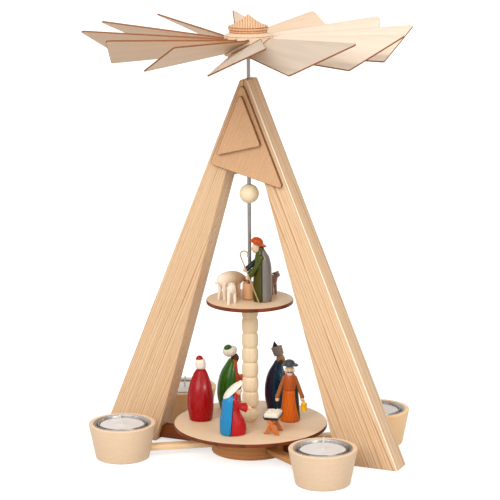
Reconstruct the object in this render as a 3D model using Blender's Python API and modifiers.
"""Two-tier wooden candle carousel: A-frame stand, wing wheel, two turntables, four tea-light cups.

Metres, +Z up. The origin is on the spinning axis, at the table. +X runs along the A-frame.
"""

import math

import bmesh
import bpy
from mathutils import Matrix, Vector

# Shared gaps and cutter overrun
CLEARANCE = 0.0003
RUNNING_CLEARANCE = 0.0004
CUT_OVERRUN = 0.002
MERGE_DISTANCE = 0.00001

# A-frame
FRAME_HEIGHT = 0.3035
FRAME_DEPTH = 0.0200
LEG_FOOT_OUTER = 0.1305
LEG_FOOT_INNER = 0.0808
LEG_TOP_HALF_WIDTH = 0.0032
CROTCH_DROP = 0.0205
LEG_EDGE_ROUND = 0.0007

# Gable plates on both faces of the A-frame
GABLE_THICKNESS = 0.0030
LARGE_GABLE_INSET = 0.0035
LARGE_GABLE_CORNER = 0.0030
LARGE_GABLE_BASE_DROP = 0.0749
LARGE_GABLE_BASE_SLOPE = math.radians(-14.5)
SMALL_GABLE_INSET = 0.0070
SMALL_GABLE_CORNER = 0.0022
SMALL_GABLE_BASE_DROP = 0.0545
SMALL_GABLE_BASE_SLOPE = math.radians(14.3)

# Shaft and its bearings
SHAFT_RADIUS = 0.0015
SHAFT_POINT_LENGTH = 0.0035
SHAFT_POINT_RADIUS = 0.0003
BUSH_RADIUS = 0.0030
BUSH_LENGTH = 0.0120
PIVOT_CUP_RADIUS = 0.0040
PIVOT_CUP_HEIGHT = 0.0048
PIVOT_CUP_FLOOR = 0.0018

# Base: foot disc, crossbeam and crossed laths
DISC_RADIUS = 0.0317
DISC_HEIGHT = 0.0130
DISC_EDGE_ROUND = 0.0012
BEAM_BOTTOM = 0.0018
BEAM_HEIGHT = 0.0100
BEAM_DEPTH = 0.0100
BEAM_HOUSING_DEPTH = 0.0050
LATH_BOTTOM = 0.0047
LATH_THICKNESS = 0.0042
LATH_WIDTH = 0.0090
LATH_SOCKET_DEPTH = 0.0100

# Cups, stated by the places of their centres along and across the A-frame
CUP_ALONG = 0.0869
CUP_ACROSS = 0.0586
CUP_HEIGHT = 0.0287
CUP_RIM_RADIUS = 0.0270
CUP_FOOT_RADIUS = 0.0214
CUP_LIP_ROUND = 0.0010
CUP_FLOOR = 0.0106

# Metal inserts
INSERT_RADIUS = 0.0205
INSERT_WALL = 0.0006
INSERT_RIM_RADIUS = 0.0231
INSERT_FLARE_HEIGHT = 0.0036

# Tea lights
TEALIGHT_RADIUS = 0.0192
TEALIGHT_WALL = 0.0004
TEALIGHT_HEIGHT = 0.0168
WAX_DROP = 0.0007
WICK_RADIUS = 0.0007
WICK_HEIGHT = 0.0095

# Turntables, column, collar and ball
TURNTABLE_THICKNESS = 0.0031
LOWER_TURNTABLE_TOP = 0.0231
LOWER_TURNTABLE_RADIUS = 0.0621
UPPER_TURNTABLE_TOP = 0.1258
UPPER_TURNTABLE_RADIUS = 0.0350
COLUMN_RADIUS = 0.00665
COLUMN_GROOVE_RADIUS = 0.0057
COLUMN_BALL_HEIGHT = 0.0134
COLUMN_BEADS = 7
COLLAR_RADIUS = 0.0059
COLLAR_HEIGHT = 0.0130
BALL_RADIUS = 0.0078
BALL_HEIGHT_SHARE = 0.545

# Wing wheel
WING_COUNT = 12
WING_CENTRE_RISE = 0.0263
WING_PITCH = math.radians(27.0)
WING_PHASE = math.radians(-42.0)
WING_THICKNESS = 0.0015
WING_ROOT_RADIUS = 0.0140
WING_ROOT_HALF_WIDTH = 0.0126
WING_UPPER_TIP_RADIUS = 0.1288
WING_UPPER_TIP_WIDTH = 0.0296
WING_LOWER_TIP_RADIUS = 0.1072
WING_LOWER_TIP_WIDTH = 0.0221
WING_CORNER = 0.0018
HUB_RADIUS = 0.0190
HUB_HEIGHT = 0.0155
CAP_BEAD_RADIUS = 0.0173
CAP_BEAD_HEIGHT = 0.0073
CAP_RIM_RADIUS = 0.0158
CAP_CONE_HEIGHT = 0.0092

# Facets round the turned pieces
FINE_SIDES = 56
ROUND_SIDES = 32
SMALL_SIDES = 20
COLUMN_SIDES = 16
FIGURE_SIDES = 12
MASS_SIDES = 8
HAT_SIDES = 10
SMALL_MASS_SIDES = 6
CORNER_STEPS = 3

# Figures: standing height, place on their turntable and heading
RED_KING_HEIGHT = 0.0539
GREEN_KING_HEIGHT = 0.0545
PURPLE_KING_HEIGHT = 0.0545
WOMAN_HEIGHT = 0.0436
MAN_HEIGHT = 0.0507
MANGER_HEIGHT = 0.0190
SHEPHERD_HEIGHT = 0.0523
GRAZING_SHEEP_HEIGHT = 0.0228
STANDING_SHEEP_HEIGHT = 0.0190
LANTERN_HEIGHT = 0.0086
LANTERN_RADIUS = 0.0027
CROOK_RADIUS = 0.00055
CROOK_HOOK_RADIUS = 0.0030
RED_KING_ORBIT = 0.0415
GREEN_KING_ORBIT = 0.0420
PURPLE_KING_ORBIT = 0.0420
RED_KING_BEARING = math.radians(193.8)
GREEN_KING_BEARING = math.radians(137.2)
PURPLE_KING_BEARING = math.radians(83.0)
KING_GIRTH_SHARE = 1.0
SLIM_KING_GIRTH_SHARE = 0.89
CLOCKWISE_TURN = math.radians(-90.0)
WOMAN_ORBIT = 0.0361
WOMAN_BEARING = math.radians(-89.2)
WOMAN_HEADING = math.radians(30.0)
MAN_ORBIT = 0.0321
MAN_BEARING = math.radians(29.3)
MAN_HEADING = math.radians(-68.0)
MANGER_ORBIT = 0.0359
MANGER_BEARING = math.radians(-35.9)
MANGER_HEADING = math.radians(-80.3)
SHEPHERD_ORBIT = 0.0132
SHEPHERD_BEARING = math.radians(-16.8)
SHEPHERD_HEADING = math.radians(203.8)
GRAZING_SHEEP_ORBIT = 0.0145
GRAZING_SHEEP_BEARING = math.radians(201.9)
GRAZING_SHEEP_HEADING = math.radians(49.4)
STANDING_SHEEP_ORBIT = 0.0225
STANDING_SHEEP_BEARING = math.radians(73.0)
STANDING_SHEEP_HEADING = math.radians(-10.0)

# Shape tables, as shares of each piece's own sizes.
# Robe rows: height, lean, half depth, half width, all shares of the figure's height.
KING_ROBE_SHARES = (
    (0.00, 0.000, 0.155, 0.165),
    (0.06, 0.000, 0.168, 0.174),
    (0.22, -0.018, 0.182, 0.190),
    (0.38, -0.024, 0.168, 0.187),
    (0.52, -0.016, 0.144, 0.164),
    (0.63, 0.006, 0.112, 0.134),
    (0.71, 0.030, 0.080, 0.104),
    (0.77, 0.044, 0.062, 0.076),
)
WOMAN_ROBE_SHARES = (
    (0.00, 0.010, 0.235, 0.200),
    (0.08, 0.010, 0.250, 0.215),
    (0.22, 0.000, 0.242, 0.210),
    (0.36, -0.028, 0.195, 0.188),
    (0.46, -0.042, 0.162, 0.168),
    (0.58, -0.042, 0.158, 0.168),
    (0.70, -0.018, 0.130, 0.140),
    (0.78, 0.030, 0.078, 0.085),
)
MAN_ROBE_SHARES = (
    (0.00, 0.000, 0.163, 0.163),
    (0.04, 0.000, 0.160, 0.160),
    (0.25, 0.000, 0.146, 0.146),
    (0.49, 0.000, 0.131, 0.131),
    (0.505, 0.000, 0.122, 0.122),
    (0.53, 0.000, 0.127, 0.127),
    (0.62, 0.000, 0.122, 0.125),
    (0.70, 0.000, 0.098, 0.112),
    (0.76, 0.005, 0.058, 0.066),
)
MAN_CAPE_SHARES = (
    (0.014, -0.045, 0.150, 0.166),
    (0.30, -0.045, 0.134, 0.152),
    (0.50, -0.040, 0.122, 0.138),
    (0.66, -0.030, 0.092, 0.118),
    (0.74, -0.020, 0.052, 0.072),
)
SHEPHERD_ROBE_SHARES = (
    (0.00, 0.000, 0.142, 0.117),
    (0.06, 0.000, 0.147, 0.119),
    (0.28, 0.000, 0.145, 0.121),
    (0.45, 0.000, 0.134, 0.130),
    (0.58, 0.000, 0.120, 0.122),
    (0.69, 0.012, 0.096, 0.102),
    (0.77, 0.034, 0.060, 0.062),
)

# Ball rows: centre along, across, up, then the three radii, then the pitch in turns.
KING_HEAD_SHARES = ((0.065, 0.0, 0.800, 0.070, 0.068, 0.080, 0.0),)
TURBAN_SHARES = (
    (0.010, 0.0, 0.885, 0.115, 0.112, 0.088, -0.06),
    (-0.026, 0.0, 0.952, 0.056, 0.056, 0.044, -0.06),
)
DOME_CAP_SHARES = ((0.022, 0.0, 0.945, 0.052, 0.052, 0.050, 0.0),)
WOMAN_HEAD_SHARES = (
    (0.085, 0.0, 0.840, 0.085, 0.080, 0.095, 0.0),
    (-0.020, 0.0, 0.815, 0.230, 0.130, 0.080, -0.11),
)
MAN_HEAD_SHARES = (
    (0.000, 0.0, 0.820, 0.075, 0.072, 0.085, 0.0),
    (0.000, 0.0, 0.920, 0.084, 0.084, 0.078, 0.0),
)
SHEPHERD_HEAD_SHARES = (
    (0.070, 0.0, 0.820, 0.072, 0.068, 0.080, 0.0),
    (0.050, 0.0, 0.918, 0.086, 0.082, 0.078, 0.0),
)
GRAZING_SHEEP_BALL_SHARES = (
    (-0.05, 0.00, 0.700, 0.540, 0.230, 0.290, 0.0),
    (0.64, 0.12, 0.500, 0.130, 0.085, 0.100, 0.10),
    (0.57, 0.21, 0.580, 0.040, 0.065, 0.028, 0.0),
    (-0.60, 0.00, 0.620, 0.070, 0.045, 0.050, 0.06),
    (-0.245, -0.44, 0.490, 0.160, 0.260, 0.155, 0.0),
    (-0.200, -0.20, 0.580, 0.110, 0.140, 0.110, 0.0),
)
STANDING_SHEEP_BALL_SHARES = (
    (0.00, 0.00, 0.600, 0.450, 0.240, 0.270, 0.0),
    (0.45, 0.00, 0.880, 0.160, 0.105, 0.115, 0.04),
    (0.37, 0.14, 0.950, 0.045, 0.090, 0.030, 0.0),
    (0.37, -0.14, 0.950, 0.045, 0.090, 0.030, 0.0),
    (-0.46, 0.00, 0.640, 0.070, 0.045, 0.050, 0.06),
)

# Limb rows: start along, across, up, start radius, then the same for the end.
KING_ARM_SHARES = (
    (0.03, 0.080, 0.600, 0.050, 0.205, 0.045, 0.460, 0.038),
    (0.03, -0.080, 0.600, 0.050, 0.205, -0.045, 0.460, 0.038),
)
KING_HAND_SHARES = (
    (0.225, 0.026, 0.448, 0.036, 0.036, 0.036, 0.0),
    (0.225, -0.026, 0.448, 0.036, 0.036, 0.036, 0.0),
)
TALL_CROWN_SHARES = (
    (0.034, 0.0, 0.845, 0.078, -0.002, 0.0, 0.985, 0.096),
    (0.010, 0.0, 0.960, 0.034, -0.008, 0.0, 1.040, 0.006),
)
ROUND_CROWN_SHARES = ((0.032, 0.0, 0.800, 0.074, 0.022, 0.0, 0.950, 0.082),)
WOMAN_ARM_SHARES = (
    (0.05, 0.100, 0.620, 0.060, 0.235, 0.050, 0.475, 0.060),
    (0.05, -0.100, 0.620, 0.060, 0.235, -0.050, 0.475, 0.060),
)
WOMAN_HAND_SHARES = (
    (0.256, 0.040, 0.462, 0.042, 0.042, 0.042, 0.0),
    (0.256, -0.040, 0.462, 0.042, 0.042, 0.042, 0.0),
)
MAN_ARM_SHARES = (
    (0.00, 0.105, 0.665, 0.046, 0.030, 0.190, 0.385, 0.036),
    (0.00, -0.105, 0.665, 0.046, 0.030, -0.190, 0.385, 0.036),
    (0.00, 0.0, 0.884, 0.126, 0.000, 0.0, 0.904, 0.118),
    (0.033, -0.193, 0.020, 0.012, 0.033, -0.193, 0.360, 0.012),
)
MAN_HAND_SHARES = (
    (0.033, 0.193, 0.368, 0.038, 0.038, 0.042, 0.0),
    (0.033, -0.193, 0.368, 0.038, 0.038, 0.042, 0.0),
)
SHEPHERD_ARM_SHARES = (
    (0.02, 0.105, 0.660, 0.052, 0.150, 0.092, 0.435, 0.038),
    (0.04, -0.080, 0.640, 0.052, 0.242, 0.075, 0.515, 0.040),
    (0.060, 0.0, 0.868, 0.126, 0.052, 0.0, 0.888, 0.117),
)
SHEPHERD_HAND_SHARES = (
    (0.166, 0.092, 0.412, 0.034, 0.034, 0.034, 0.0),
    (0.264, 0.090, 0.506, 0.036, 0.036, 0.036, 0.0),
)
GRAZING_SHEEP_LEG_SHARES = (
    (0.27, 0.10, 0.600, 0.080, 0.30, 0.12, 0.01, 0.055),
    (0.22, -0.09, 0.600, 0.080, 0.23, -0.10, 0.01, 0.055),
    (-0.38, 0.08, 0.600, 0.085, -0.46, 0.09, 0.01, 0.055),
    (-0.33, -0.12, 0.600, 0.085, -0.36, -0.18, 0.01, 0.055),
    (0.33, 0.02, 0.740, 0.140, 0.60, 0.12, 0.60, 0.095),
    (-0.36, -0.60, 0.460, 0.060, -0.42, -0.64, 0.01, 0.045),
    (-0.20, -0.60, 0.460, 0.060, -0.21, -0.62, 0.01, 0.045),
    (-0.31, -0.33, 0.460, 0.055, -0.32, -0.34, 0.01, 0.045),
    (-0.17, -0.33, 0.460, 0.055, -0.15, -0.34, 0.01, 0.045),
)
STANDING_SHEEP_LEG_SHARES = (
    (0.28, 0.12, 0.500, 0.080, 0.31, 0.13, 0.01, 0.060),
    (0.28, -0.12, 0.500, 0.080, 0.31, -0.13, 0.01, 0.060),
    (-0.30, 0.12, 0.500, 0.085, -0.31, 0.13, 0.01, 0.060),
    (-0.30, -0.12, 0.500, 0.085, -0.31, -0.13, 0.01, 0.060),
    (0.30, 0.0, 0.640, 0.160, 0.42, 0.0, 0.880, 0.095),
)
MANGER_LEG_SHARES = (
    (0.33, 0.20, 0.690, 0.070, 0.35, -0.26, 0.05, 0.070),
    (0.31, -0.20, 0.690, 0.066, 0.32, 0.26, 0.05, 0.066),
    (-0.33, 0.20, 0.690, 0.070, -0.35, -0.26, 0.05, 0.070),
    (-0.31, -0.20, 0.690, 0.066, -0.32, 0.26, 0.05, 0.066),
)
MANGER_TRAY_SHARES = (
    (0.64, 0.0, 0.400, 0.280),
    (0.80, 0.0, 0.455, 0.345),
)
MANGER_STRAW_SHARES = ((0.0, 0.0, 0.785, 0.400, 0.290, 0.190, 0.0),)

# The crook's foot (along, across) and the point where its hook starts (along, up)
CROOK_FOOT_SHARES = (0.055, 0.152)
CROOK_NECK_SHARES = (0.328, 0.735)
CROOK_HOOK_TURN = math.radians(235.0)
CROOK_HOOK_STEPS = 11

# Turned profiles: radius share, height share
COLUMN_BEAD_SHARES = (0.14, 0.50, 0.86)
COLUMN_BALL_SHARES = (0.16, 0.38, 0.62, 0.84, 0.96)
CAP_PROFILE_SHARES = ((0.10, 0.94), (0.30, 0.66), (0.56, 0.36), (0.80, 0.13))
CAP_BEAD_SHARES = ((0.93, 0.90), (1.00, 0.62), (1.00, 0.38), (0.93, 0.10))
LANTERN_PROFILE_SHARES = (
    (0.18, 1.00),
    (0.30, 0.93),
    (0.22, 0.84),
    (0.78, 0.76),
    (1.00, 0.70),
    (1.00, 0.12),
    (0.82, 0.00),
)

# Places that follow from the sizes above
CROTCH_HEIGHT = FRAME_HEIGHT - CROTCH_DROP
WING_CENTRE_HEIGHT = FRAME_HEIGHT + WING_CENTRE_RISE
LOWER_TURNTABLE_BOTTOM = LOWER_TURNTABLE_TOP - TURNTABLE_THICKNESS
UPPER_TURNTABLE_BOTTOM = UPPER_TURNTABLE_TOP - TURNTABLE_THICKNESS
LOWER_DECK = LOWER_TURNTABLE_TOP + CLEARANCE
UPPER_DECK = UPPER_TURNTABLE_TOP + CLEARANCE
BALL_CENTRE_HEIGHT = UPPER_DECK + BALL_HEIGHT_SHARE * (CROTCH_HEIGHT - UPPER_DECK)
SHAFT_BORE = SHAFT_RADIUS + CLEARANCE
BEAM_TOP = BEAM_BOTTOM + BEAM_HEIGHT
LATH_TOP = LATH_BOTTOM + LATH_THICKNESS
LATH_ANGLE = math.atan2(CUP_ACROSS, CUP_ALONG)
LATH_REACH = math.hypot(CUP_ALONG, CUP_ACROSS) - CUP_FOOT_RADIUS + LATH_SOCKET_DEPTH
PIVOT_CUP_BOTTOM = BEAM_TOP + CLEARANCE
SHAFT_BOTTOM = PIVOT_CUP_BOTTOM + PIVOT_CUP_FLOOR + CLEARANCE
HUB_BOTTOM = WING_CENTRE_HEIGHT - HUB_HEIGHT / 2
HUB_TOP = WING_CENTRE_HEIGHT + HUB_HEIGHT / 2
CAP_BOTTOM = HUB_TOP + CLEARANCE
CAP_RIM = CAP_BOTTOM + CAP_BEAD_HEIGHT
SHAFT_TOP = CAP_RIM
BUSH_BOTTOM = CROTCH_HEIGHT + CLEARANCE
BUSH_TOP = BUSH_BOTTOM + BUSH_LENGTH
INSERT_BOTTOM = CUP_FLOOR + CLEARANCE
TEALIGHT_BOTTOM = INSERT_BOTTOM + INSERT_WALL + CLEARANCE
TEALIGHT_TOP = TEALIGHT_BOTTOM + TEALIGHT_HEIGHT

# Colours as sRGB hex, roughness, metallic
FINISHES = {
    "ash": ("E6C297", 0.45, 0.0),
    "beech": ("EBCBA4", 0.45, 0.0),
    "birch_ply": ("EED9BC", 0.55, 0.0),
    "maple": ("EDD9B4", 0.40, 0.0),
    "walnut": ("8A5632", 0.45, 0.0),
    "dark_wood": ("6B3518", 0.50, 0.0),
    "steel": ("A09A96", 0.30, 1.0),
    "brass": ("B99A55", 0.35, 1.0),
    "aluminium": ("C9CBCC", 0.30, 1.0),
    "wax": ("E8E4E4", 0.40, 0.0),
    "red_paint": ("B5141C", 0.35, 0.0),
    "green_paint": ("2E6A1A", 0.40, 0.0),
    "purple_paint": ("4A2850", 0.40, 0.0),
    "blue_paint": ("3E9AD0", 0.40, 0.0),
    "orange_paint": ("D8661C", 0.40, 0.0),
    "olive_paint": ("4A5A2A", 0.40, 0.0),
    "yellow_paint": ("F2B70C", 0.40, 0.0),
    "wool_white": ("F0E2CE", 0.60, 0.0),
    "pale_brown": ("9A7258", 0.60, 0.0),
}


def linear(channel):
    """Turn one sRGB channel into its linear value."""
    if channel <= 0.04045:
        return channel / 12.92
    return ((channel + 0.055) / 1.055) ** 2.4


def material(name):
    """Return the named finish as a Principled material, made once."""
    found = bpy.data.materials.get(name)
    if found:
        return found
    code, roughness, metallic = FINISHES[name]
    rgb = [linear(int(code[i:i + 2], 16) / 255) for i in (0, 2, 4)]
    made = bpy.data.materials.new(name)
    made.use_nodes = True
    shader = made.node_tree.nodes["Principled BSDF"]
    shader.inputs["Base Color"].default_value = (*rgb, 1.0)
    shader.inputs["Roughness"].default_value = roughness
    shader.inputs["Metallic"].default_value = metallic
    return made


def clear_scene():
    """Remove every object so the model starts from nothing."""
    for obj in list(bpy.data.objects):
        bpy.data.objects.remove(obj, do_unlink=True)


def new_collection(name):
    """Add a collection to the scene."""
    collection = bpy.data.collections.new(name)
    bpy.context.scene.collection.children.link(collection)
    return collection


def place(name, data, finish, parent=None, at=(0.0, 0.0, 0.0), turn=(0.0, 0.0, 0.0)):
    """Put an object in the part collection at its place."""
    obj = bpy.data.objects.new(name, data)
    PARTS.objects.link(obj)
    obj.parent = parent
    obj.location = at
    obj.rotation_euler = turn
    if finish and hasattr(data, "materials"):
        data.materials.append(material(finish))
    return obj


def as_cutter(obj):
    """Move an object to the cutters, where the build leaves it out."""
    PARTS.objects.unlink(obj)
    CUTTERS.objects.link(obj)
    obj.hide_render = True
    obj.display_type = "WIRE"
    return obj


def smooth(mesh):
    """Shade round faces smooth and keep the edges crisp."""
    mesh.shade_smooth()
    mesh.set_sharp_from_angle(angle=math.radians(35.0))


def baked(obj):
    """Replace a curve or a profile by the mesh that it makes, with its seams welded."""
    depsgraph = bpy.context.evaluated_depsgraph_get()
    mesh = bpy.data.meshes.new_from_object(obj.evaluated_get(depsgraph))
    bm = bmesh.new()
    bm.from_mesh(mesh)
    bmesh.ops.remove_doubles(bm, verts=bm.verts, dist=MERGE_DISTANCE)
    bmesh.ops.dissolve_limit(bm, angle_limit=math.radians(0.5), verts=bm.verts, edges=bm.edges)
    bmesh.ops.recalc_face_normals(bm, faces=bm.faces)
    bm.to_mesh(mesh)
    bm.free()
    smooth(mesh)
    name, parent = obj.name, obj.parent
    at, turn = obj.location.copy(), obj.rotation_euler.copy()
    mats = list(obj.data.materials)
    bpy.data.objects.remove(obj, do_unlink=True)
    mesh.materials.clear()
    result = place(name, mesh, None, parent, at, turn)
    for mat in mats:
        mesh.materials.append(mat)
    return result


def turned(name, profile, sides, finish, closed=False, **placing):
    """Turn a profile of (radius, height) about Z. At +X it runs down the outer side."""
    count = len(profile)
    links = [(i, i + 1) for i in range(count - 1)]
    if closed:
        links.append((count - 1, 0))
    mesh = bpy.data.meshes.new(name)
    mesh.from_pydata([(radius, 0.0, height) for radius, height in profile], links, [])
    obj = place(name, mesh, finish, **placing)
    screw = obj.modifiers.new("turn", "SCREW")
    screw.axis = "Z"
    screw.angle = math.tau
    screw.screw_offset = 0.0
    screw.steps = sides
    screw.render_steps = sides
    screw.use_merge_vertices = True
    screw.merge_threshold = MERGE_DISTANCE
    return baked(obj)


def rounded(corners, radius):
    """Return a polygon's points with an arc at each corner."""
    points = []
    total = len(corners)
    for i, corner in enumerate(corners):
        here = Vector(corner)
        back = (Vector(corners[i - 1]) - here).normalized()
        ahead = (Vector(corners[(i + 1) % total]) - here).normalized()
        half = back.angle(ahead) / 2
        middle = here + (back + ahead).normalized() * (radius / math.sin(half))
        reach = radius / math.tan(half)
        start = here + back * reach - middle
        sweep = start.angle_signed(here + ahead * reach - middle)
        for step in range(CORNER_STEPS + 1):
            spin = Matrix.Rotation(-sweep * step / CORNER_STEPS, 2)
            points.append(tuple(middle + spin @ start))
    return points


def plate(name, outline, thickness, finish, **placing):
    """Extrude a flat outline by half its thickness to each side of its plane."""
    curve = bpy.data.curves.new(name, "CURVE")
    curve.dimensions = "2D"
    curve.fill_mode = "BOTH"
    curve.extrude = thickness / 2
    spline = curve.splines.new("POLY")
    spline.points.add(len(outline) - 1)
    for point, (x, y) in zip(spline.points, outline):
        point.co = (x, y, 0.0, 1.0)
    spline.use_cyclic_u = True
    return baked(place(name, curve, finish, **placing))


def upright_plate(name, outline, depth, finish, y=0.0, **placing):
    """A plate that stands in the XZ plane, centred on y."""
    return plate(name, outline, depth, finish, at=(0.0, y, 0.0),
                 turn=(math.radians(90.0), 0.0, 0.0), **placing)


def boolean(obj, operation, other):
    """Cut or join another object, which becomes a cutter."""
    step = obj.modifiers.new(other.name, "BOOLEAN")
    step.operation = operation
    step.solver = "EXACT"
    step.object = as_cutter(other)


def block(name, size, centre, turn=0.0, parent=None):
    """A box of a given size, turned about Z."""
    mesh = bpy.data.meshes.new(name)
    bm = bmesh.new()
    bmesh.ops.create_cube(bm, size=1.0)
    bmesh.ops.scale(bm, vec=size, verts=bm.verts)
    bm.to_mesh(mesh)
    bm.free()
    return place(name, mesh, None, parent, centre, (0.0, 0.0, turn))


def rod(name, radius, bottom, top, sides=SMALL_SIDES):
    """A plain upright cylinder on the axis, used as a cutter."""
    mesh = bpy.data.meshes.new(name)
    bm = bmesh.new()
    bmesh.ops.create_cone(bm, cap_ends=True, segments=sides, radius1=radius, radius2=radius,
                          depth=top - bottom)
    bm.to_mesh(mesh)
    bm.free()
    return place(name, mesh, None, None, (0.0, 0.0, (top + bottom) / 2))


def leg_inner(height):
    """Distance from the centre plane to a leg's inner face at a height."""
    return LEG_FOOT_INNER * (1 - height / CROTCH_HEIGHT)


def leg_outer(height):
    """Distance from the centre plane to a leg's outer face at a height."""
    taper = (LEG_FOOT_OUTER - LEG_TOP_HALF_WIDTH) / FRAME_HEIGHT
    return LEG_TOP_HALF_WIDTH + (FRAME_HEIGHT - height) * taper


def make_legs():
    """Two tapered planks that meet on the centre plane."""
    gap = CLEARANCE / 2
    meeting = CROTCH_HEIGHT * (1 - gap / LEG_FOOT_INNER)
    outline = [
        (LEG_FOOT_INNER, 0.0),
        (LEG_FOOT_OUTER, 0.0),
        (LEG_TOP_HALF_WIDTH, FRAME_HEIGHT),
        (gap, FRAME_HEIGHT),
        (gap, meeting),
    ]
    for name, side in (("left_leg", -1), ("right_leg", 1)):
        leg = upright_plate(name, [(side * x, z) for x, z in outline][::side], FRAME_DEPTH, "ash")
        edge = leg.modifiers.new("edge_round", "BEVEL")
        edge.width = LEG_EDGE_ROUND
        edge.segments = 2
        edge.limit_method = "ANGLE"
        boolean(leg, "DIFFERENCE", beam_housing(name, side))
        boolean(leg, "DIFFERENCE", rod(name + "_bore", SHAFT_RADIUS + RUNNING_CLEARANCE,
                                       CROTCH_HEIGHT, FRAME_HEIGHT + CUT_OVERRUN))
        boolean(leg, "DIFFERENCE", rod(name + "_bush_seat", BUSH_RADIUS + CLEARANCE,
                                       CROTCH_HEIGHT - FRAME_DEPTH, BUSH_TOP + CLEARANCE))


def beam_housing(name, side):
    """Cutter for the pocket that takes one end of the crossbeam."""
    bottom = BEAM_BOTTOM - CLEARANCE
    top = BEAM_TOP + CLEARANCE
    deep = BEAM_HOUSING_DEPTH + CLEARANCE
    outline = [
        (leg_inner(bottom) - CUT_OVERRUN, bottom),
        (leg_inner(bottom) + deep, bottom),
        (leg_inner(top) + deep, top),
        (leg_inner(top) - CUT_OVERRUN, top),
    ]
    return upright_plate(name + "_housing", [(side * x, z) for x, z in outline][::side],
                         BEAM_DEPTH + 2 * CLEARANCE, None)


def gable_outline(inset, corner, base_drop, base_slope):
    """A rounded triangle whose sides follow the A-frame's outer edges."""
    base_height = FRAME_HEIGHT - base_drop
    taper = (LEG_FOOT_OUTER - LEG_TOP_HALF_WIDTH) / FRAME_HEIGHT
    apex = FRAME_HEIGHT - (inset - LEG_TOP_HALF_WIDTH) / taper
    slope = math.tan(base_slope)
    right = (apex - base_height) * taper / (1 + slope * taper)
    left = (apex - base_height) * taper / (1 - slope * taper)
    corners = [(0.0, apex), (-left, base_height - left * slope), (right, base_height + right * slope)]
    return rounded(corners, corner)


def make_gables():
    """Stacked plates over the top joint, the same seen from the front and the back."""
    large = gable_outline(LARGE_GABLE_INSET, LARGE_GABLE_CORNER, LARGE_GABLE_BASE_DROP,
                          LARGE_GABLE_BASE_SLOPE)
    small = gable_outline(SMALL_GABLE_INSET, SMALL_GABLE_CORNER, SMALL_GABLE_BASE_DROP,
                          SMALL_GABLE_BASE_SLOPE)
    large_y = FRAME_DEPTH / 2 + CLEARANCE + GABLE_THICKNESS / 2
    small_y = large_y + GABLE_THICKNESS + CLEARANCE
    for face, side in (("front", -1), ("back", 1)):
        for size, outline, y in (("large", large, large_y), ("small", small, small_y)):
            turned_outline = [(-side * x, z) for x, z in outline][::-side]
            upright_plate(f"{face}_{size}_gable", turned_outline, GABLE_THICKNESS, "beech", side * y)


def make_bearings():
    """The bush at the top of the frame and the cup under the shaft's point."""
    bore = SHAFT_RADIUS + RUNNING_CLEARANCE
    turned("top_bush", [(bore, BUSH_TOP), (BUSH_RADIUS, BUSH_TOP), (BUSH_RADIUS, BUSH_BOTTOM),
                        (bore, BUSH_BOTTOM)], SMALL_SIDES, "brass", closed=True)
    top = PIVOT_CUP_BOTTOM + PIVOT_CUP_HEIGHT
    turned("pivot_cup", [
        (0.0, PIVOT_CUP_BOTTOM + PIVOT_CUP_FLOOR),
        (SHAFT_POINT_RADIUS + RUNNING_CLEARANCE, PIVOT_CUP_BOTTOM + PIVOT_CUP_FLOOR),
        (SHAFT_RADIUS + 2 * RUNNING_CLEARANCE, top),
        (PIVOT_CUP_RADIUS, top),
        (PIVOT_CUP_RADIUS, PIVOT_CUP_BOTTOM),
        (0.0, PIVOT_CUP_BOTTOM),
    ], SMALL_SIDES, "brass")


def make_crossbeam():
    """The bar between the legs, notched below where it straddles the crossed laths."""
    ends = [(leg_inner(z) + BEAM_HOUSING_DEPTH, z) for z in (BEAM_BOTTOM, BEAM_TOP)]
    reach = BEAM_DEPTH / 2 * math.cos(LATH_ANGLE) + LATH_WIDTH / 2 + CLEARANCE
    notch = reach / math.sin(LATH_ANGLE)
    notch_top = LATH_TOP + CLEARANCE
    half = [(notch, notch_top), (notch, BEAM_BOTTOM), ends[0], ends[1]]
    outline = half + [(-x, z) for x, z in half[::-1]]
    upright_plate("crossbeam", outline, BEAM_DEPTH, "dark_wood")


def make_base_disc():
    """The foot disc, with grooves from above for the laths and the crossbeam."""
    disc = turned("base_disc", [
        (0.0, DISC_HEIGHT),
        (DISC_RADIUS - DISC_EDGE_ROUND, DISC_HEIGHT),
        (DISC_RADIUS, DISC_HEIGHT - DISC_EDGE_ROUND),
        (DISC_RADIUS, 0.0),
        (0.0, 0.0),
    ], FINE_SIDES, "walnut")
    across = 2 * (DISC_RADIUS + CUT_OVERRUN)
    top = DISC_HEIGHT + CUT_OVERRUN
    for name, wide, floor, turn in (
        ("beam_groove", BEAM_DEPTH, BEAM_BOTTOM, 0.0),
        ("lath_a_groove", LATH_WIDTH, LATH_BOTTOM, LATH_ANGLE),
        ("lath_b_groove", LATH_WIDTH, LATH_BOTTOM, -LATH_ANGLE),
    ):
        low = floor - CLEARANCE
        size = (across, wide + 2 * CLEARANCE, top - low)
        boolean(disc, "DIFFERENCE", block(name, size, (0.0, 0.0, (top + low) / 2), turn))


def make_laths():
    """Two laths halved into each other at the centre, one end in each cup."""
    middle = (LATH_BOTTOM + LATH_TOP) / 2
    half_gap = CLEARANCE / 2
    wide = LATH_WIDTH + 2 * CLEARANCE
    for name, turn, low, high in (
        ("lath_a", LATH_ANGLE, middle - half_gap, LATH_TOP + CUT_OVERRUN),
        ("lath_b", -LATH_ANGLE, LATH_BOTTOM - CUT_OVERRUN, middle + half_gap),
    ):
        lath = block(name, (2 * LATH_REACH, LATH_WIDTH, LATH_THICKNESS), (0.0, 0.0, middle), turn)
        lath.data.materials.append(material("beech"))
        size = (2 * LATH_WIDTH / math.sin(LATH_ANGLE), wide, high - low)
        boolean(lath, "DIFFERENCE", block(name + "_halving", size, (0.0, 0.0, (low + high) / 2), -turn))


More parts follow.
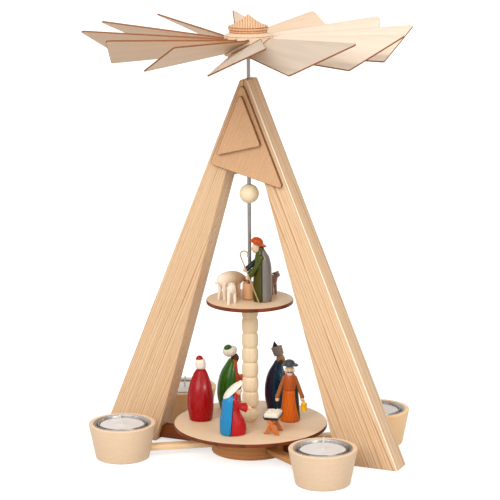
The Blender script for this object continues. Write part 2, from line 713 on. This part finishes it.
def cup_places():
    """Name, centre and lath angle of each cup."""
    for front, y_side in (("front", -1), ("back", 1)):
        for hand, x_side in (("left", -1), ("right", 1)):
            centre = (x_side * CUP_ALONG, y_side * CUP_ACROSS)
            yield f"{front}_{hand}", centre, x_side * y_side * LATH_ANGLE


def make_cup(name, centre, angle):
    """A tapered turned cup with a flared mouth for its insert."""
    bore = INSERT_RADIUS + CLEARANCE
    mouth = INSERT_RIM_RADIUS + CLEARANCE
    flare_bottom = CUP_HEIGHT - INSERT_FLARE_HEIGHT - CLEARANCE
    lip_outer = CUP_RIM_RADIUS - CUP_LIP_ROUND
    cup = turned(f"{name}_cup", [
        (0.0, CUP_FLOOR),
        (bore, CUP_FLOOR),
        (bore, flare_bottom),
        (mouth, CUP_HEIGHT - CLEARANCE),
        (mouth + CLEARANCE, CUP_HEIGHT),
        (lip_outer, CUP_HEIGHT),
        (CUP_RIM_RADIUS, CUP_HEIGHT - CUP_LIP_ROUND),
        (CUP_FOOT_RADIUS + CUP_LIP_ROUND / 4, CUP_LIP_ROUND),
        (CUP_FOOT_RADIUS - CUP_LIP_ROUND / 2, 0.0),
        (0.0, 0.0),
    ], ROUND_SIDES, "beech", at=(*centre, 0.0))
    socket_length = 2 * (LATH_REACH + CLEARANCE)
    size = (socket_length, LATH_WIDTH + 2 * CLEARANCE, LATH_THICKNESS + 2 * CLEARANCE)
    boolean(cup, "DIFFERENCE", block(f"{name}_socket", size,
                                     (0.0, 0.0, (LATH_BOTTOM + LATH_TOP) / 2), angle))


def make_insert(name, centre):
    """A spun metal liner with a flared rim."""
    inner = INSERT_RADIUS - INSERT_WALL
    flare_bottom = CUP_HEIGHT - INSERT_FLARE_HEIGHT
    turned(f"{name}_insert", [
        (0.0, INSERT_BOTTOM + INSERT_WALL),
        (inner, INSERT_BOTTOM + INSERT_WALL),
        (inner, flare_bottom),
        (INSERT_RIM_RADIUS - INSERT_WALL, CUP_HEIGHT),
        (INSERT_RIM_RADIUS, CUP_HEIGHT),
        (INSERT_RADIUS, flare_bottom),
        (INSERT_RADIUS, INSERT_BOTTOM),
        (0.0, INSERT_BOTTOM),
    ], ROUND_SIDES, "aluminium", at=(*centre, 0.0))


def make_tealight(name, centre):
    """An aluminium cup that lifts out, with its wax and wick."""
    axis = place(f"{name}_tealight_axis", None, None, at=(*centre, 0.0))
    inner = TEALIGHT_RADIUS - TEALIGHT_WALL
    floor = TEALIGHT_BOTTOM + TEALIGHT_WALL
    turned(f"{name}_tealight_cup", [
        (0.0, floor),
        (inner, floor),
        (inner, TEALIGHT_TOP),
        (TEALIGHT_RADIUS, TEALIGHT_TOP),
        (TEALIGHT_RADIUS, TEALIGHT_BOTTOM),
        (0.0, TEALIGHT_BOTTOM),
    ], ROUND_SIDES, "aluminium", parent=axis)
    wax_top = TEALIGHT_TOP - WAX_DROP
    wax_radius = inner - CLEARANCE
    turned(f"{name}_wax", [
        (0.0, wax_top + WICK_HEIGHT),
        (WICK_RADIUS, wax_top + WICK_HEIGHT),
        (WICK_RADIUS, wax_top),
        (wax_radius, wax_top),
        (wax_radius, floor + CLEARANCE),
        (0.0, floor + CLEARANCE),
    ], ROUND_SIDES, "wax", parent=axis)


def make_shaft():
    """The steel rod from the pivot cup to the wing hub."""
    turned("shaft", [
        (0.0, SHAFT_TOP),
        (SHAFT_RADIUS, SHAFT_TOP),
        (SHAFT_RADIUS, SHAFT_BOTTOM + SHAFT_POINT_LENGTH),
        (SHAFT_POINT_RADIUS, SHAFT_BOTTOM),
        (0.0, SHAFT_BOTTOM),
    ], SMALL_SIDES, "steel", parent=ROTOR)


def make_turntable(name, radius, top, sides):
    """A thin plywood disc bored for the shaft."""
    bottom = top - TURNTABLE_THICKNESS
    turned(name, [(SHAFT_BORE, top), (radius, top), (radius, bottom), (SHAFT_BORE, bottom)],
           sides, "birch_ply", closed=True, parent=ROTOR)


def half_circle(share):
    """Height of a half circle of radius one half, at a share of its width."""
    return math.sqrt(share * (1 - share))


def make_column():
    """The turned column: a stack of barrel beads on a ball."""
    bottom = LOWER_TURNTABLE_TOP + CLEARANCE
    top = UPPER_TURNTABLE_BOTTOM - CLEARANCE
    ball_top = bottom + COLUMN_BALL_HEIGHT
    pitch = (top - ball_top) / COLUMN_BEADS
    swell = COLUMN_RADIUS - COLUMN_GROOVE_RADIUS
    profile = [(SHAFT_BORE, top), (COLUMN_GROOVE_RADIUS, top)]
    for bead in range(COLUMN_BEADS):
        bead_top = top - bead * pitch
        for share in COLUMN_BEAD_SHARES:
            bulge = 2 * swell * half_circle(share)
            profile.append((COLUMN_GROOVE_RADIUS + bulge, bead_top - share * pitch))
        profile.append((COLUMN_GROOVE_RADIUS, bead_top - pitch))
    for share in COLUMN_BALL_SHARES:
        profile.append((2 * COLUMN_RADIUS * half_circle(share), ball_top - share * COLUMN_BALL_HEIGHT))
    foot = 2 * COLUMN_RADIUS * half_circle(COLUMN_BALL_SHARES[-1])
    profile += [(foot, bottom), (SHAFT_BORE, bottom)]
    turned("column", profile, COLUMN_SIDES, "maple", closed=True, parent=ROTOR)


def make_collar():
    """The turned collar that stands on the small turntable round the shaft."""
    bottom = UPPER_DECK
    top = bottom + COLLAR_HEIGHT
    edge = COLLAR_RADIUS - SHAFT_RADIUS / 2
    turned("deck_collar", [
        (SHAFT_BORE, top), (edge, top), (COLLAR_RADIUS, top - SHAFT_RADIUS / 2),
        (COLLAR_RADIUS, bottom + SHAFT_RADIUS), (edge, bottom), (SHAFT_BORE, bottom),
    ], SMALL_SIDES, "maple", closed=True, parent=ROTOR)


def make_ball():
    """The wooden ball on the shaft, bored right through."""
    low = math.asin(SHAFT_BORE / BALL_RADIUS)
    profile = []
    for step in range(MASS_SIDES + 1):
        angle = low + (math.pi - 2 * low) * step / MASS_SIDES
        height = BALL_CENTRE_HEIGHT + BALL_RADIUS * math.cos(angle)
        profile.append((BALL_RADIUS * math.sin(angle), height))
    turned("shaft_ball", profile, SMALL_SIDES, "maple", closed=True, parent=ROTOR)


def wing_turn(index):
    """Rotation that pitches a blade and swings it to its slot."""
    return (WING_PITCH, 0.0, WING_PHASE + index * math.tau / WING_COUNT)


def make_wings():
    """Twelve pitched blades with slanting tips, pushed into the hub's slots."""
    tips = rounded([
        (WING_ROOT_RADIUS, -WING_ROOT_HALF_WIDTH),
        (WING_LOWER_TIP_RADIUS, -WING_LOWER_TIP_WIDTH),
        (WING_UPPER_TIP_RADIUS, WING_UPPER_TIP_WIDTH),
        (WING_ROOT_RADIUS, WING_ROOT_HALF_WIDTH),
    ], WING_CORNER)
    for index in range(WING_COUNT):
        plate(f"wing_{index + 1:02d}", tips, WING_THICKNESS, "birch_ply", parent=ROTOR,
              at=(0.0, 0.0, WING_CENTRE_HEIGHT), turn=wing_turn(index))


def make_hub():
    """The collar with a slanting slot for each blade, bored for the shaft."""
    hub = turned("wing_hub", [
        (SHAFT_BORE, HUB_TOP), (HUB_RADIUS, HUB_TOP), (HUB_RADIUS, HUB_BOTTOM), (SHAFT_BORE, HUB_BOTTOM),
    ], ROUND_SIDES, "maple", closed=True, parent=ROTOR)
    root = WING_ROOT_RADIUS - CLEARANCE
    side = WING_ROOT_HALF_WIDTH + CLEARANCE
    outer = HUB_RADIUS + CUT_OVERRUN
    upper_spread = (WING_UPPER_TIP_WIDTH - WING_ROOT_HALF_WIDTH) / (WING_UPPER_TIP_RADIUS - WING_ROOT_RADIUS)
    lower_spread = (WING_LOWER_TIP_WIDTH - WING_ROOT_HALF_WIDTH) / (WING_LOWER_TIP_RADIUS - WING_ROOT_RADIUS)
    outline = [
        (root, -side),
        (outer, -side - lower_spread * (outer - root)),
        (outer, side + upper_spread * (outer - root)),
        (root, side),
    ]
    for index in range(WING_COUNT):
        slot = plate(f"wing_slot_{index + 1:02d}", outline, WING_THICKNESS + 2 * CLEARANCE, None,
                     parent=ROTOR, at=(0.0, 0.0, WING_CENTRE_HEIGHT), turn=wing_turn(index))
        boolean(hub, "DIFFERENCE", slot)


def make_cap():
    """The cone cap with its bead, bored blind for the shaft's end."""
    profile = [(0.0, CAP_RIM + CAP_CONE_HEIGHT)]
    profile += [(CAP_RIM_RADIUS * r, CAP_RIM + CAP_CONE_HEIGHT * z) for r, z in CAP_PROFILE_SHARES]
    profile.append((CAP_RIM_RADIUS, CAP_RIM))
    profile += [(CAP_BEAD_RADIUS * r, CAP_BOTTOM + CAP_BEAD_HEIGHT * z) for r, z in CAP_BEAD_SHARES]
    profile += [(CAP_RIM_RADIUS, CAP_BOTTOM), (SHAFT_BORE, CAP_BOTTOM)]
    profile += [(SHAFT_BORE, SHAFT_TOP + CLEARANCE), (0.0, SHAFT_TOP + CLEARANCE)]
    turned("hub_cap", profile, ROUND_SIDES, "ash", parent=ROTOR)


def loft(name, rows, height, finish, sides=FIGURE_SIDES, square=False, **placing):
    """Skin a stack of upright ellipses, given as shares of the height."""
    bm = bmesh.new()
    rings = []
    start = math.pi / sides if square else 0.0
    for up, lean, half_depth, half_width in rows:
        ring = []
        for step in range(sides):
            angle = start + math.tau * step / sides
            spread = math.cos(math.pi / sides) if square else 1.0
            x = lean + half_depth * math.cos(angle) / spread
            y = half_width * math.sin(angle) / spread
            ring.append(bm.verts.new((x * height, y * height, up * height)))
        rings.append(ring)
    for low, high in zip(rings, rings[1:]):
        for i in range(sides):
            j = (i + 1) % sides
            bm.faces.new((low[i], low[j], high[j], high[i]))
    bm.faces.new(rings[0][::-1])
    bm.faces.new(rings[-1])
    mesh = bpy.data.meshes.new(name)
    bm.to_mesh(mesh)
    bm.free()
    smooth(mesh)
    return place(name, mesh, finish, **placing)


def add_balls(figure, rows, height, sides=MASS_SIDES):
    """Join rounded masses such as heads, hats and hands to a figure."""
    for index, (x, y, z, rx, ry, rz, pitch) in enumerate(rows):
        name = f"{figure.name}_ball_{len(figure.modifiers)}_{index}"
        bm = bmesh.new()
        bmesh.ops.create_uvsphere(bm, u_segments=sides, v_segments=sides // 2 + 1, radius=height)
        bmesh.ops.scale(bm, vec=(rx, ry, rz), verts=bm.verts)
        mesh = bpy.data.meshes.new(name)
        bm.to_mesh(mesh)
        bm.free()
        ball = place(name, mesh, None, figure, (x * height, y * height, z * height),
                     (0.0, pitch * math.tau, 0.0))
        boolean(figure, "UNION", ball)


def add_limbs(figure, rows, height, sides=MASS_SIDES):
    """Join tapered round limbs, brims and sticks to a figure."""
    for index, (x0, y0, z0, r0, x1, y1, z1, r1) in enumerate(rows):
        name = f"{figure.name}_limb_{len(figure.modifiers)}_{index}"
        start = Vector((x0, y0, z0)) * height
        end = Vector((x1, y1, z1)) * height
        bm = bmesh.new()
        bmesh.ops.create_cone(bm, cap_ends=True, segments=sides, radius1=r0 * height,
                              radius2=r1 * height, depth=(end - start).length)
        mesh = bpy.data.meshes.new(name)
        bm.to_mesh(mesh)
        bm.free()
        turn = (end - start).to_track_quat("Z", "Y").to_euler()
        limb = place(name, mesh, None, figure, (start + end) / 2, turn)
        boolean(figure, "UNION", limb)


def on_deck(orbit, bearing, deck, heading):
    """Place and turn of a figure that stands on a turntable."""
    at = (orbit * math.cos(bearing), orbit * math.sin(bearing), deck)
    return {"parent": ROTOR, "at": at, "turn": (0.0, 0.0, heading)}


def make_king(name, height, orbit, bearing, finish, girth_share, headgear):
    """A robed king who walks clockwise round the column."""
    spot = on_deck(orbit, bearing, LOWER_DECK, bearing + CLOCKWISE_TURN)
    robe = [(up, lean, deep * girth_share, wide * girth_share) for up, lean, deep, wide in KING_ROBE_SHARES]
    king = loft(name, robe, height, finish, **spot)
    add_balls(king, KING_HEAD_SHARES, height)
    add_limbs(king, KING_ARM_SHARES, height)
    add_balls(king, KING_HAND_SHARES, height, sides=SMALL_MASS_SIDES)
    for adder, rows in headgear:
        adder(king, rows, height, sides=HAT_SIDES)


def make_woman():
    """The kneeling woman in her veil."""
    spot = on_deck(WOMAN_ORBIT, WOMAN_BEARING, LOWER_DECK, WOMAN_HEADING)
    woman = loft("kneeling_woman", WOMAN_ROBE_SHARES, WOMAN_HEIGHT, "blue_paint", **spot)
    add_limbs(woman, WOMAN_ARM_SHARES, WOMAN_HEIGHT)
    add_balls(woman, WOMAN_HAND_SHARES, WOMAN_HEIGHT, sides=SMALL_MASS_SIDES)
    add_balls(woman, WOMAN_HEAD_SHARES, WOMAN_HEIGHT, sides=HAT_SIDES)


def make_man():
    """The standing man with hat, cape and stick."""
    spot = on_deck(MAN_ORBIT, MAN_BEARING, LOWER_DECK, MAN_HEADING)
    man = loft("standing_man", MAN_ROBE_SHARES, MAN_HEIGHT, "orange_paint", **spot)
    cape = loft("man_cape", MAN_CAPE_SHARES, MAN_HEIGHT, None, parent=man)
    boolean(man, "UNION", cape)
    add_balls(man, MAN_HEAD_SHARES, MAN_HEIGHT)
    add_limbs(man, MAN_ARM_SHARES, MAN_HEIGHT)
    add_balls(man, MAN_HAND_SHARES, MAN_HEIGHT, sides=SMALL_MASS_SIDES)
    make_lantern(man)


def make_lantern(man):
    """The lantern that hangs under the man's left hand."""
    x, _, z, _, _, radius, _ = MAN_HAND_SHARES[0]
    top = (z - radius) * MAN_HEIGHT - CLEARANCE
    side = max(row[3] for row in MAN_CAPE_SHARES) * MAN_HEIGHT + CLEARANCE + LANTERN_RADIUS
    offset = Vector((x * MAN_HEIGHT, side, 0.0))
    offset.rotate(man.rotation_euler)
    at = man.location + offset
    at.z += top - LANTERN_HEIGHT
    profile = [(0.0, LANTERN_HEIGHT)]
    profile += [(LANTERN_RADIUS * r, LANTERN_HEIGHT * z) for r, z in LANTERN_PROFILE_SHARES]
    profile.append((0.0, 0.0))
    turned("lantern", profile, FIGURE_SIDES, "yellow_paint", parent=ROTOR, at=at)


def make_manger():
    """The straw-filled manger on crossed legs."""
    spot = on_deck(MANGER_ORBIT, MANGER_BEARING, LOWER_DECK, MANGER_HEADING)
    tray = loft("manger", MANGER_TRAY_SHARES, MANGER_HEIGHT, "orange_paint", sides=4, square=True, **spot)
    add_limbs(tray, MANGER_LEG_SHARES, MANGER_HEIGHT, sides=SMALL_MASS_SIDES)
    add_balls(tray, MANGER_STRAW_SHARES, MANGER_HEIGHT, sides=HAT_SIDES)


def make_shepherd():
    """The shepherd with his brimmed hat."""
    spot = on_deck(SHEPHERD_ORBIT, SHEPHERD_BEARING, UPPER_DECK, SHEPHERD_HEADING)
    shepherd = loft("shepherd", SHEPHERD_ROBE_SHARES, SHEPHERD_HEIGHT, "olive_paint", **spot)
    add_balls(shepherd, SHEPHERD_HEAD_SHARES, SHEPHERD_HEIGHT)
    add_limbs(shepherd, SHEPHERD_ARM_SHARES, SHEPHERD_HEIGHT)
    add_balls(shepherd, SHEPHERD_HAND_SHARES, SHEPHERD_HEIGHT, sides=SMALL_MASS_SIDES)


def make_crook():
    """The shepherd's crook: a straight staff that ends in a round hook."""
    spot = on_deck(SHEPHERD_ORBIT, SHEPHERD_BEARING, UPPER_DECK, SHEPHERD_HEADING)
    foot = Vector((CROOK_FOOT_SHARES[0] * SHEPHERD_HEIGHT, CROOK_RADIUS))
    neck = Vector(CROOK_NECK_SHARES) * SHEPHERD_HEIGHT
    along = (neck - foot).normalized()
    inward = Vector((-along.y, along.x))
    centre = neck + inward * CROOK_HOOK_RADIUS
    points = [foot, neck]
    for step in range(1, CROOK_HOOK_STEPS + 1):
        angle = CROOK_HOOK_TURN * step / CROOK_HOOK_STEPS
        points.append(centre - inward * CROOK_HOOK_RADIUS * math.cos(angle)
                      + along * CROOK_HOOK_RADIUS * math.sin(angle))
    curve = bpy.data.curves.new("shepherd_crook", "CURVE")
    curve.dimensions = "3D"
    curve.bevel_depth = CROOK_RADIUS
    curve.bevel_resolution = 1
    curve.use_fill_caps = True
    spline = curve.splines.new("POLY")
    spline.points.add(len(points) - 1)
    y = CROOK_FOOT_SHARES[1] * SHEPHERD_HEIGHT
    for point, (x, z) in zip(spline.points, points):
        point.co = (x, y, z, 1.0)
    baked(place("shepherd_crook", curve, "pale_brown", **spot))


def make_sheep(name, height, orbit, bearing, heading, balls, limbs, finish):
    """A small carved sheep: a wool body with neck, head, ears, tail and four legs."""
    spot = on_deck(orbit, bearing, UPPER_DECK, heading)
    sheep = place(name, bpy.data.meshes.new(name), finish, **spot)
    x, y, z, rx, ry, rz, _ = balls[0]
    bm = bmesh.new()
    bmesh.ops.create_uvsphere(bm, u_segments=FIGURE_SIDES, v_segments=MASS_SIDES, radius=height)
    bmesh.ops.scale(bm, vec=(rx, ry, rz), verts=bm.verts)
    bmesh.ops.translate(bm, vec=(x * height, y * height, z * height), verts=bm.verts)
    bm.to_mesh(sheep.data)
    bm.free()
    smooth(sheep.data)
    add_limbs(sheep, limbs, height, sides=SMALL_MASS_SIDES)
    add_balls(sheep, balls[1:], height)


def make_frame():
    """Everything that stands still."""
    make_legs()
    make_gables()
    make_bearings()
    make_crossbeam()
    make_base_disc()
    make_laths()
    for name, centre, angle in cup_places():
        make_cup(name, centre, angle)
        make_insert(name, centre)
        make_tealight(name, centre)


def make_rotor():
    """Everything that spins on the shaft."""
    make_shaft()
    make_hub()
    make_wings()
    make_cap()
    make_ball()
    make_collar()
    make_column()
    make_turntable("lower_turntable", LOWER_TURNTABLE_RADIUS, LOWER_TURNTABLE_TOP, FINE_SIDES)
    make_turntable("upper_turntable", UPPER_TURNTABLE_RADIUS, UPPER_TURNTABLE_TOP, ROUND_SIDES)


def make_figures():
    """The figures that ride on the turntables."""
    make_king("red_king", RED_KING_HEIGHT, RED_KING_ORBIT, RED_KING_BEARING, "red_paint",
              KING_GIRTH_SHARE, ((add_limbs, ROUND_CROWN_SHARES), (add_balls, DOME_CAP_SHARES)))
    make_king("green_king", GREEN_KING_HEIGHT, GREEN_KING_ORBIT, GREEN_KING_BEARING, "green_paint",
              KING_GIRTH_SHARE, ((add_balls, TURBAN_SHARES),))
    make_king("purple_king", PURPLE_KING_HEIGHT, PURPLE_KING_ORBIT, PURPLE_KING_BEARING, "purple_paint",
              SLIM_KING_GIRTH_SHARE, ((add_limbs, TALL_CROWN_SHARES),))
    make_woman()
    make_man()
    make_manger()
    make_shepherd()
    make_crook()
    make_sheep("grazing_sheep", GRAZING_SHEEP_HEIGHT, GRAZING_SHEEP_ORBIT, GRAZING_SHEEP_BEARING,
               GRAZING_SHEEP_HEADING, GRAZING_SHEEP_BALL_SHARES, GRAZING_SHEEP_LEG_SHARES, "wool_white")
    make_sheep("standing_sheep", STANDING_SHEEP_HEIGHT, STANDING_SHEEP_ORBIT, STANDING_SHEEP_BEARING,
               STANDING_SHEEP_HEADING, STANDING_SHEEP_BALL_SHARES, STANDING_SHEEP_LEG_SHARES, "pale_brown")


clear_scene()
PARTS = new_collection("candle_carousel")
CUTTERS = new_collection("cutters")
ROTOR = place("rotor_axis", None, None)
make_frame()
make_rotor()
make_figures()
